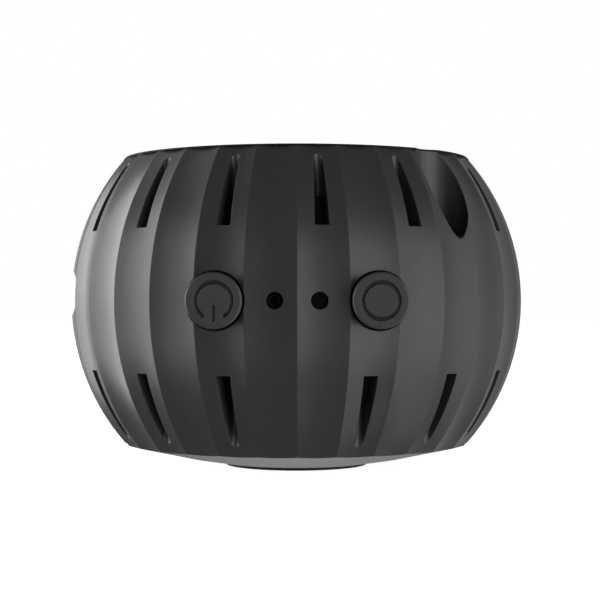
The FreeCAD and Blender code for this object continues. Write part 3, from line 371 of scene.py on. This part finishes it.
# The finish of each slot in the record
FINISHES = {
    "shell_plastic": moulded("shell_finish", (0.042, 0.042, 0.043), roughness=0.33,
                             wear_and_highlight=0.5, edge=0.00018),
    "cover_plastic": moulded("cover_finish", (0.05, 0.05, 0.051), roughness=0.39,
                             grain=2600),
    "button_plastic": moulded("button_finish", (0.045, 0.045, 0.046), roughness=0.38,
                              wear_and_highlight=0.5, edge=0.00015),
    "inner_plastic": moulded("inner_finish", (0.02, 0.02, 0.021), roughness=0.5, wear_and_highlight=0.1),
    "foot_rubber": moulded("foot_finish", (0.01, 0.01, 0.01), roughness=0.75, grain=1500,
                           depth=0.00004, wear_and_highlight=0.1, specular=0.3),
    "seal_rubber": moulded("seal_finish", (0.014, 0.014, 0.014), roughness=0.6, grain=1500,
                           wear_and_highlight=0.1, specular=0.2),
    # The clear light pipe is coloured near black with almost no gloss: painted shade for its
    # hole
    "light_pipe_clear": moulded("light_pipe_painted_shade", (0.004, 0.004, 0.0045), roughness=0.3,
                                grain=900, wear_and_highlight=0.05, specular=0.04),
    "battery_wrap": moulded("battery_finish", (0.12, 0.16, 0.3), roughness=0.28, grain=300,
                            depth=0.00005, wear_and_highlight=0.1, edge=0.0004, coat=0.3),
    "brass": metal("brass_finish", (0.72, 0.55, 0.28), roughness=0.26, streaks=(1, 1, 14)),
    "screw_steel": metal("screw_finish", (0.5, 0.5, 0.52), roughness=0.3),
    "port_metal": metal("port_finish", (0.34, 0.34, 0.35), roughness=0.42,
                        streaks=(0.1, 1, 1)),
    "sink_aluminium": metal("sink_finish", (0.7, 0.7, 0.72), roughness=0.38,
                            streaks=(1, 1, 0.06)),
    "lens_metal": metal("lens_metal_finish", (0.03, 0.03, 0.032), roughness=0.4,
                        streaks=(1, 20, 1)),
    "board_green": circuit_board("board_finish", mask=(0.02, 0.12, 0.06),
                                 copper=(0.06, 0.22, 0.09), bare_edge=(0.16, 0.15, 0.08)),
    "lens_glass": optical_glass("window_finish", (0.75, 0.77, 0.8), coat=0.2,
                                coat_tint=WHITE),
    "speaker_paper": coated_paper("speaker_finish", (0.06, 0.06, 0.06)),
}

# Finishes for a few nodes and pieces alone
LENS_FINISH = optical_glass("lens_finish", (0.1, 0.09, 0.14), coat=1.0,
                            coat_tint=(0.62, 0.5, 1.0, 1.0))
DARK_FINISH = moulded("dark_finish", (0.006, 0.006, 0.0065), roughness=0.55, wear_and_highlight=0.0,
                      specular=0.12)
DOME_FINISH = moulded("dome_finish", (0.012, 0.01, 0.014), roughness=0.2, wear_and_highlight=0.0,
                      coat=1.0)
# Half as bright as the caps: painted shade in the engraved grooves
MARK_SHADE_FINISH = moulded("mark_painted_shade", (0.022, 0.022, 0.022), roughness=0.42, wear_and_highlight=0.0,
                      specular=0.35)
CLOTH_FINISH = woven("cloth_finish", (0.006, 0.006, 0.006), threads=900.0)
# The microphone's gasket takes the near-black finish as painted shade for the microphone's
# hole
OWN_FINISHES = {"front_lens": LENS_FINISH, "rear_lens": LENS_FINISH,
                "image_sensor": LENS_FINISH, "dc_socket": DARK_FINISH,
                "mic_gasket": DARK_FINISH}

for row in frame["record"]["subparts"]:
    for material_slot in frame["nodes"][row["node"]].material_slots:
        material_slot.material = OWN_FINISHES.get(row["node"], FINISHES[row["material_slot"]])


# Pieces, with sizes in millimetres
LARGEST_ROUND = 0.3


def arc_angles(last, step):
    """Angles in radians from 0 to last, both counted, for degrees."""
    return [math.radians(angle) for angle in range(0, last + 1, step)]


def make_piece(name, b, body, slot, smooth=40.0, finish=None):
    """Turn a mesh under construction into a finished piece on a body."""
    bmesh.ops.remove_doubles(b, verts=b.verts, dist=1e-7)
    bmesh.ops.dissolve_degenerate(b, edges=b.edges, dist=1e-8)
    bmesh.ops.recalc_face_normals(b, faces=b.faces)
    mesh = bpy.data.meshes.new(name)
    b.to_mesh(mesh)
    b.free()
    mesh.shade_smooth()
    mesh.set_sharp_from_angle(angle=math.radians(smooth))
    mesh.materials.append(finish or FINISHES[slot])
    piece = bpy.data.objects.new(name, mesh)
    bpy.context.scene.collection.objects.link(piece)
    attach(piece, body)


def add_lathe(b, section, middle, out, segments=96):
    """A closed section of (radius, height) turned about an axis that is square to X."""
    across = Vector((1, 0, 0))
    up = out.cross(across)
    rings = []
    for index in range(segments):
        angle = 2 * math.pi * index / segments
        side = across * math.cos(angle) + up * math.sin(angle)
        rings.append([b.verts.new(middle + (side * r + out * h) * MM) for r, h in section])
    for index, ring in enumerate(rings):
        after = rings[(index + 1) % segments]
        for k in range(len(section)):
            m = (k + 1) % len(section)
            if section[k][0] == 0 and section[m][0] == 0:
                continue
            b.faces.new((ring[k], ring[m], after[m], after[k]))


def lathe(name, section, middle, out, slot, segments=96):
    b = bmesh.new()
    add_lathe(b, section, middle, out, segments)
    make_piece(name, b, "camera", slot)


def add_block(b, low, high, round_by):
    """A box between two corners, with edges rounded by no more than a share of its
    thinnest side."""
    size = [h - l for l, h in zip(low, high)]
    made = bmesh.ops.create_cube(b, size=1.0)["verts"]
    for v in made:
        v.co = Vector([(l + h) / 2 + c * s for l, h, c, s in zip(low, high, v.co, size)]) * MM
    edges = {e for v in made for e in v.link_edges}
    bmesh.ops.bevel(b, geom=list(edges), offset=min(round_by, min(size) * LARGEST_ROUND) * MM,
                    segments=2, profile=0.5, affect="EDGES")


def blocks(name, boxes, slot, round_by):
    b = bmesh.new()
    for low, high in boxes:
        add_block(b, low, high, round_by)
    make_piece(name, b, "camera", slot)


def add_tube_faces(b, loops):
    """Faces between closed loops of vertices, each with the same number of them."""
    for first, second in zip(loops, loops[1:]):
        for k in range(len(first)):
            m = (k + 1) % len(first)
            b.faces.new((first[k], first[m], second[m], second[k]))


# Engraved marks: rounded channels that lie in the grooves of the two caps, in a finish darker
# than the caps that is painted shade in the grooves
CHANNEL_HALF = 0.32
CHANNEL_DEPTH = 0.34
CHANNEL_BED = 0.44
CHANNEL_SMOOTH = 60.0
END_STEPS = 12
MARK_RADIUS = 2.825
MARK_GAP = math.radians(35)
MARK_STEPS = 60
BAR_ENDS = (-0.95, -2.97)
BAR_STEPS = 6


def button_middle(node):
    low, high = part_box(node)
    return Vector(((low.x + high.x) / 2, low.y, EQUATOR))


def channel_steps():
    """Offsets from the middle of the channel and depths: down its wall, then to the bed."""
    steps = [(CHANNEL_HALF * math.sin(t), CHANNEL_DEPTH * math.cos(t))
             for t in arc_angles(90, 10)]
    return steps + [(CHANNEL_HALF, CHANNEL_BED), (0.0, CHANNEL_BED)]


def turn_flat(v, angle):
    c, s = math.cos(angle), math.sin(angle)
    return Vector((v.x * c - v.y * s, v.x * s + v.y * c))


def channel_along(name, path):
    """A channel in the power button with round ends, along points and their left sides."""
    middle = button_middle("power_button")
    turns = [math.pi * k / END_STEPS for k in range(1, END_STEPS)]
    first_point, first_side = path[0]
    last_point, last_side = path[-1]
    b = bmesh.new()
    loops = []
    for offset, depth in channel_steps():
        spots = [point + side * offset for point, side in path]
        spots += [last_point + turn_flat(last_side, -t) * offset for t in turns]
        spots += [point - side * offset for point, side in reversed(path)]
        spots += [first_point - turn_flat(first_side, -t) * offset for t in turns]
        loops.append([b.verts.new(middle + Vector((s.x, depth, s.y)) * MM) for s in spots])
    add_tube_faces(b, loops)
    make_piece(name, b, "power_button", "button_plastic", CHANNEL_SMOOTH, MARK_SHADE_FINISH)


def make_marks():
    start_angle, end_angle = -math.pi / 2 + MARK_GAP, 3 * math.pi / 2 - MARK_GAP
    arc = []
    for k in range(MARK_STEPS + 1):
        a = start_angle + (end_angle - start_angle) * k / MARK_STEPS
        ray = Vector((math.cos(a), math.sin(a)))
        arc.append((ray * MARK_RADIUS, -ray))
    channel_along("power_mark_ring", arc)
    top, bottom = BAR_ENDS
    bar = [(Vector((0, top + (bottom - top) * k / BAR_STEPS)), Vector((1, 0)))
           for k in range(BAR_STEPS + 1)]
    channel_along("power_mark_bar", bar)
    steps = channel_steps()[:-1]
    section = [(MARK_RADIUS + offset, -depth) for offset, depth in steps]
    section += [(MARK_RADIUS - offset, -depth) for offset, depth in reversed(steps[1:])]
    b = bmesh.new()
    add_lathe(b, section, button_middle("function_button"), FRONT, segments=128)
    make_piece("function_mark_ring", b, "function_button", "button_plastic", CHANNEL_SMOOTH,
               MARK_SHADE_FINISH)


# Disc of near-black woven acoustic mesh that keeps dust out of the microphone and is a dark
# sheet standing for the shade in its hole
MESH_RADIUS = 0.78
MESH_FOOT = 0.01
MESH_TOP = 0.1
MESH_BEVEL = 0.04


def make_mic_shade_mesh():
    low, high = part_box("microphone")
    middle = Vector(((low.x + high.x) / 2, low.y, (low.z + high.z) / 2))
    section = [(0.0, MESH_FOOT), (MESH_RADIUS, MESH_FOOT),
               (MESH_RADIUS, MESH_TOP - MESH_BEVEL), (MESH_RADIUS - MESH_BEVEL, MESH_TOP),
               (0.0, MESH_TOP)]
    b = bmesh.new()
    add_lathe(b, section, middle, FRONT, segments=48)
    make_piece("mic_shade_mesh", b, "camera", "seal_rubber", finish=CLOTH_FINISH)


# Near-black dust cloth on the inner wall behind each vent slot, by the slots' angles from the
# front: a dust cloth that is also a dark sheet standing for the shade in the slots.
# The upper row starts again half a step further on behind the shoulder pocket.
INNER_RADIUS = 37.04
SIDE_ARC = 38.36
CLOTH_LEVELS = (12.1, 16.6)
CLOTH_HALF_ANGLE = 3.0
CLOTH_GAP = 0.05
CLOTH_THICKNESS = 0.2
CLOTH_STEPS = 5
SLOT_STEP = 24
UPPER_SLOTS = [30 - SLOT_STEP * k for k in range(9)] + [66 + SLOT_STEP * k for k in range(5)]
LOWER_SLOTS = [side * (18 + SLOT_STEP * k) for side in (1, -1) for k in range(7)]


def cloth_point(angle, level, depth):
    """A point this far inside the inner wall; the angle is from -Y towards +X."""
    reach = INNER_RADIUS - SIDE_ARC + math.sqrt(SIDE_ARC ** 2 - level ** 2) - depth
    a = math.radians(angle)
    return Vector((reach * math.sin(a) * MM, -reach * math.cos(a) * MM, EQUATOR + level * MM))


def cloth_grid(b, angle, side, depth):
    """Rows of vertices behind one slot of the upper row (side 1) or the lower one (-1)."""
    low, high = CLOTH_LEVELS
    shares = [k / CLOTH_STEPS for k in range(CLOTH_STEPS + 1)]
    return [[b.verts.new(cloth_point(angle + CLOTH_HALF_ANGLE * (2 * across - 1),
                                     side * (low + (high - low) * up), depth))
             for across in shares] for up in shares]


def rim_of(grid):
    """The vertices round the rim of a grid, in order."""
    return (grid[0][:-1] + [row[-1] for row in grid[:-1]] + grid[-1][:0:-1]
            + [row[0] for row in grid[:0:-1]])


def make_vent_shade_cloth():
    b = bmesh.new()
    for side, angles in ((1, UPPER_SLOTS), (-1, LOWER_SLOTS)):
        for angle in angles:
            grids = [cloth_grid(b, angle, side, depth)
                     for depth in (CLOTH_GAP, CLOTH_GAP + CLOTH_THICKNESS)]
            for grid in grids:
                for row, after in zip(grid, grid[1:]):
                    for j in range(CLOTH_STEPS):
                        b.faces.new((row[j], row[j + 1], after[j + 1], after[j]))
            add_tube_faces(b, [rim_of(grid) for grid in grids])
    # Near black, so that it is painted shade inside the slots as well as a dust cloth
    make_piece("vent_shade_cloth", b, "camera", "seal_rubber", finish=CLOTH_FINISH)


# Turns of a 1/4 inch thread in the brass insert: a wedge that fades in and out
THREAD_PITCH = 1.27
THREAD_BORE = 3.17
THREAD_CREST = 2.6
ROOT_HALF = 0.5
CREST_HALF = 0.09
THREAD_END = 0.55
TURN_STEPS = 48
LEAST_HEIGHT = 0.02


def make_thread():
    low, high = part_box("tripod_insert")
    bottom, top = low.z / MM, high.z / MM
    steps = (top - bottom - 2 * THREAD_END) / THREAD_PITCH * TURN_STEPS
    b = bmesh.new()
    rows = []
    for k in range(int(steps) + 1):
        a = 2 * math.pi * k / TURN_STEPS
        share = min(1.0, k / TURN_STEPS, (steps - k) / TURN_STEPS + LEAST_HEIGHT)
        tip = THREAD_BORE - (THREAD_BORE - THREAD_CREST) * max(share, LEAST_HEIGHT)
        z = bottom + THREAD_END + THREAD_PITCH * k / TURN_STEPS
        wedge = ((THREAD_BORE, z - ROOT_HALF), (tip, z - CREST_HALF), (tip, z + CREST_HALF),
                 (THREAD_BORE, z + ROOT_HALF))
        rows.append([b.verts.new(Vector((r * math.cos(a), r * math.sin(a), h)) * MM)
                     for r, h in wedge])
    add_tube_faces(b, rows)
    b.faces.new(rows[0])
    b.faces.new(rows[-1])
    make_piece("insert_thread", b, "camera", "brass")


# Tongue of the data port and its contacts, by their distance from the mouth of the socket
TONGUE_REACH = (0.97, 6.75)
TONGUE_HALF_WIDTH = 3.3
TONGUE_HALF = 0.33
CONTACT_COUNT = 12
CONTACT_STEP = 0.5
CONTACT_HALF = 0.14
CONTACT_REACH = (1.5, 5.2)
CONTACT_THICKNESS = 0.04


def make_data_port():
    low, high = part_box("usb_socket")
    x, z = low.x / MM, (low.z + high.z) / 2 / MM
    near, far = TONGUE_REACH
    blocks("usb_tongue", [((x + near, -TONGUE_HALF_WIDTH, z - TONGUE_HALF),
                           (x + far, TONGUE_HALF_WIDTH, z + TONGUE_HALF))],
           "inner_plastic", round_by=0.12)
    near, far = CONTACT_REACH
    strips = []
    for k in range(CONTACT_COUNT):
        y = CONTACT_STEP * (k - (CONTACT_COUNT - 1) / 2)
        for side in (1, -1):
            face = z + side * TONGUE_HALF
            bottom, top = sorted((face, face + side * CONTACT_THICKNESS))
            strips.append(((x + near, y - CONTACT_HALF, bottom),
                           (x + far, y + CONTACT_HALF, top)))
    blocks("usb_contacts", strips, "brass", round_by=0.01)


# Outlines of the power socket's contacts, as radius and height above the equator
PIN_SLEEVE = [(0.82, 3.6), (0.92, 3.6), (0.92, 7.1), (0.86, 7.35), (0.7, 7.49), (0.4, 7.53),
              (0.0, 7.54), (0.0, 7.51), (0.82, 7.51)]
CONTACT_RING = [(2.5, 3.5), (3.0, 3.5), (3.0, 3.72), (2.92, 3.8), (2.58, 3.8), (2.5, 3.72)]


def make_power_port():
    low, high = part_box("dc_socket")
    middle = Vector(((low.x + high.x) / 2, (low.y + high.y) / 2, EQUATOR))
    lathe("dc_pin_sleeve", PIN_SLEEVE, middle, UP, "port_metal", segments=48)
    lathe("dc_contact_ring", CONTACT_RING, middle, UP, "port_metal", segments=64)


# Lens side: the ring that holds the front lens, as radius and height above the barrel, the
# blocks at its two key slots, the domes of the infrared lights, and a black mask round them
RETAINER = [(5.15, 0.0), (5.92, 0.0), (5.92, 0.18), (5.85, 0.25), (5.25, 0.25), (5.15, 0.15)]
KEY_RADIUS = 5.55
KEY_HALF_WIDTH = 0.22
KEY_HALF_LENGTH = 0.35
KEY_HEIGHTS = (0.02, 0.32)
LED_CIRCLE = 7.6
LED_ANGLES = [math.radians(angle) for angle in range(30, 360, 60)]
DOME_RADIUS = 0.72
DOME_FOOT = 0.1
DOME_RISE = 0.6
MASK_OUTER = 9.85
MASK_BORE = 6.15
MASK_HOLE = 1.0
MASK_LIFT = 0.1
MASK_THICKNESS = 0.3


def make_retainer():
    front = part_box("lens_barrel")[1].y
    b = bmesh.new()
    add_lathe(b, RETAINER, Vector((0, front, EQUATOR)), BACK)
    foot, top = (front / MM + height for height in KEY_HEIGHTS)
    level = EQUATOR / MM
    for side in (-1, 1):
        x = side * KEY_RADIUS
        add_block(b, (x - KEY_HALF_WIDTH, foot, level - KEY_HALF_LENGTH),
                  (x + KEY_HALF_WIDTH, top, level + KEY_HALF_LENGTH), round_by=0.05)
    make_piece("lens_retainer", b, "camera", "lens_metal")


def make_led_domes():
    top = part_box("ir_leds")[1].y
    rise = [(DOME_RADIUS * math.cos(t), DOME_FOOT + DOME_RISE * math.sin(t))
            for t in arc_angles(80, 10)]
    dome = [(0.0, 0.0), (DOME_RADIUS, 0.0)] + rise + [(0.0, DOME_FOOT + DOME_RISE)]
    b = bmesh.new()
    for a in LED_ANGLES:
        spot = Vector((LED_CIRCLE * math.cos(a) * MM, top,
                       EQUATOR + LED_CIRCLE * math.sin(a) * MM))
        add_lathe(b, dome, spot, BACK, segments=24)
    make_piece("ir_led_domes", b, "camera", "light_pipe_clear", finish=DOME_FINISH)


def add_ring(b, middle_x, middle_z, radius, level, steps):
    """A closed ring of edges, square to Y, about a middle beside the lens axis."""
    spots = []
    for k in range(steps):
        a = 2 * math.pi * k / steps
        spots.append(b.verts.new(Vector(((middle_x + radius * math.cos(a)) * MM, level,
                                         EQUATOR + (middle_z + radius * math.sin(a)) * MM))))
    return [b.edges.new((spots[k], spots[(k + 1) % steps])) for k in range(steps)]


def make_light_mask():
    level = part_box("ir_leds")[1].y + MASK_LIFT * MM
    b = bmesh.new()
    edges = add_ring(b, 0, 0, MASK_OUTER, level, 96) + add_ring(b, 0, 0, MASK_BORE, level, 72)
    for a in LED_ANGLES:
        edges += add_ring(b, LED_CIRCLE * math.cos(a), LED_CIRCLE * math.sin(a), MASK_HOLE,
                          level, 32)
    bmesh.ops.triangle_fill(b, use_beauty=True, edges=edges, normal=BACK)
    made = bmesh.ops.extrude_face_region(b, geom=b.faces[:])["geom"]
    lifted = [v for v in made if isinstance(v, bmesh.types.BMVert)]
    bmesh.ops.translate(b, verts=lifted, vec=BACK * MASK_THICKNESS * MM)
    make_piece("light_mask", b, "camera", "inner_plastic", finish=DARK_FINISH)


# Rubber roll between the speaker's cone and its basket
ROLL_EDGES = (7.6, 9.3)
ROLL_MIDDLE = 8.45
ROLL_HALF = 0.75
ROLL_RISE = 0.45
ROLL_LIFT = 0.02


def make_speaker_surround():
    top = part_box("speaker")[1].z / MM
    inner, outer = ROLL_EDGES
    roll = [(ROLL_MIDDLE - ROLL_HALF * math.cos(t), top + ROLL_LIFT + ROLL_RISE * math.sin(t))
            for t in arc_angles(180, 15)]
    lathe("speaker_surround", [(inner, top)] + roll + [(outer, top)], Vector((0, 0, 0)), UP,
          "seal_rubber")


# Chips on the main board: X of the middle, share of the board's height, width, height and
# thickness, with pins above and below. Rows of small parts run along both long edges, each
# part with its width, thickness, and foot and head above that edge.
CHIPS = [(-10.5, 0.55, 8.0, 8.0, 1.1), (2.5, 0.72, 6.0, 5.0, 0.9), (12.5, 0.35, 5.0, 5.0, 0.9),
         (-2.5, 0.25, 4.0, 3.0, 0.8), (16.5, 0.75, 3.0, 3.0, 0.8), (-17.0, 0.3, 3.0, 4.0, 1.2)]
CHIP_GAP = 0.02
PIN_STEP = 0.8
PIN_INSET = 0.4
PIN_WIDTH = 0.35
PIN_REACH = 0.5
PIN_GAP = 0.01
PIN_THICKNESS = 0.2
SHIELD_X = (4.0, 10.0)
SHIELD_Z = (1.2, 6.4)
SHIELD_THICKNESS = 1.5
SMALL_COUNT = 9
SMALL_START = 4.5
SMALL_STEP = 4.3
LOWER_PART = (1.0, 0.5, 0.6, 1.1)
UPPER_PART = (1.2, 0.55, -1.2, -0.6)


def make_board_parts():
    low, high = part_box("main_board")
    face, left, bottom, top = low.y / MM, low.x / MM, low.z / MM, high.z / MM
    seat = face - CHIP_GAP
    chips, pins = [], []
    for x, share, width, height, thickness in CHIPS:
        mid = bottom + (top - bottom) * share
        chips.append(((x - width / 2, face - thickness, mid - height / 2),
                      (x + width / 2, seat, mid + height / 2)))
        reach = height / 2 + PIN_REACH
        for k in range(int(width / PIN_STEP)):
            pin = x - width / 2 + PIN_INSET + PIN_STEP * k
            pins.append(((pin, face - PIN_THICKNESS, mid - reach),
                         (pin + PIN_WIDTH, face - PIN_GAP, mid + reach)))
    for k in range(SMALL_COUNT):
        x = left + SMALL_START + SMALL_STEP * k
        for edge, (width, thickness, foot, head) in ((bottom, LOWER_PART), (top, UPPER_PART)):
            chips.append(((x, face - thickness, edge + foot), (x + width, seat, edge + head)))
    shield = ((SHIELD_X[0], face - SHIELD_THICKNESS, bottom + SHIELD_Z[0]),
              (SHIELD_X[1], seat, bottom + SHIELD_Z[1]))
    blocks("main_board_chips", chips, "inner_plastic", round_by=0.12)
    blocks("main_board_shield", [shield], "port_metal", round_by=0.3)
    blocks("main_board_pins", pins, "screw_steel", round_by=0.04)


# Printed antenna: upright strips joined in turn at the top and the bottom
STRIP_COUNT = 8
STRIP_START = 1.5
STRIP_STEP = 2.6
STRIP_WIDTH = 0.6
STRIP_OVERLAP = 0.1
STRIP_THICKNESS = 0.05
STRIP_MARGIN = 0.6


def make_antenna():
    low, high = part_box("wifi_antenna")
    face, bottom, top = low.y / MM, low.z / MM + STRIP_MARGIN, high.z / MM - STRIP_MARGIN
    front = face - STRIP_THICKNESS
    strips = []
    for k in range(STRIP_COUNT):
        x = low.x / MM + STRIP_START + STRIP_STEP * k
        strips.append(((x, front, bottom), (x + STRIP_WIDTH, face, top)))
        if k < STRIP_COUNT - 1:
            level = bottom if k % 2 else top - STRIP_WIDTH
            strips.append(((x + STRIP_WIDTH - STRIP_OVERLAP, front, level),
                           (x + STRIP_STEP + STRIP_OVERLAP, face, level + STRIP_WIDTH)))
    blocks("antenna_trace", strips, "brass", round_by=0.02)


make_marks()
make_mic_shade_mesh()
make_vent_shade_cloth()
make_thread()
make_data_port()
make_power_port()
make_retainer()
make_led_domes()
make_light_mask()
make_speaker_surround()
make_board_parts()
make_antenna()
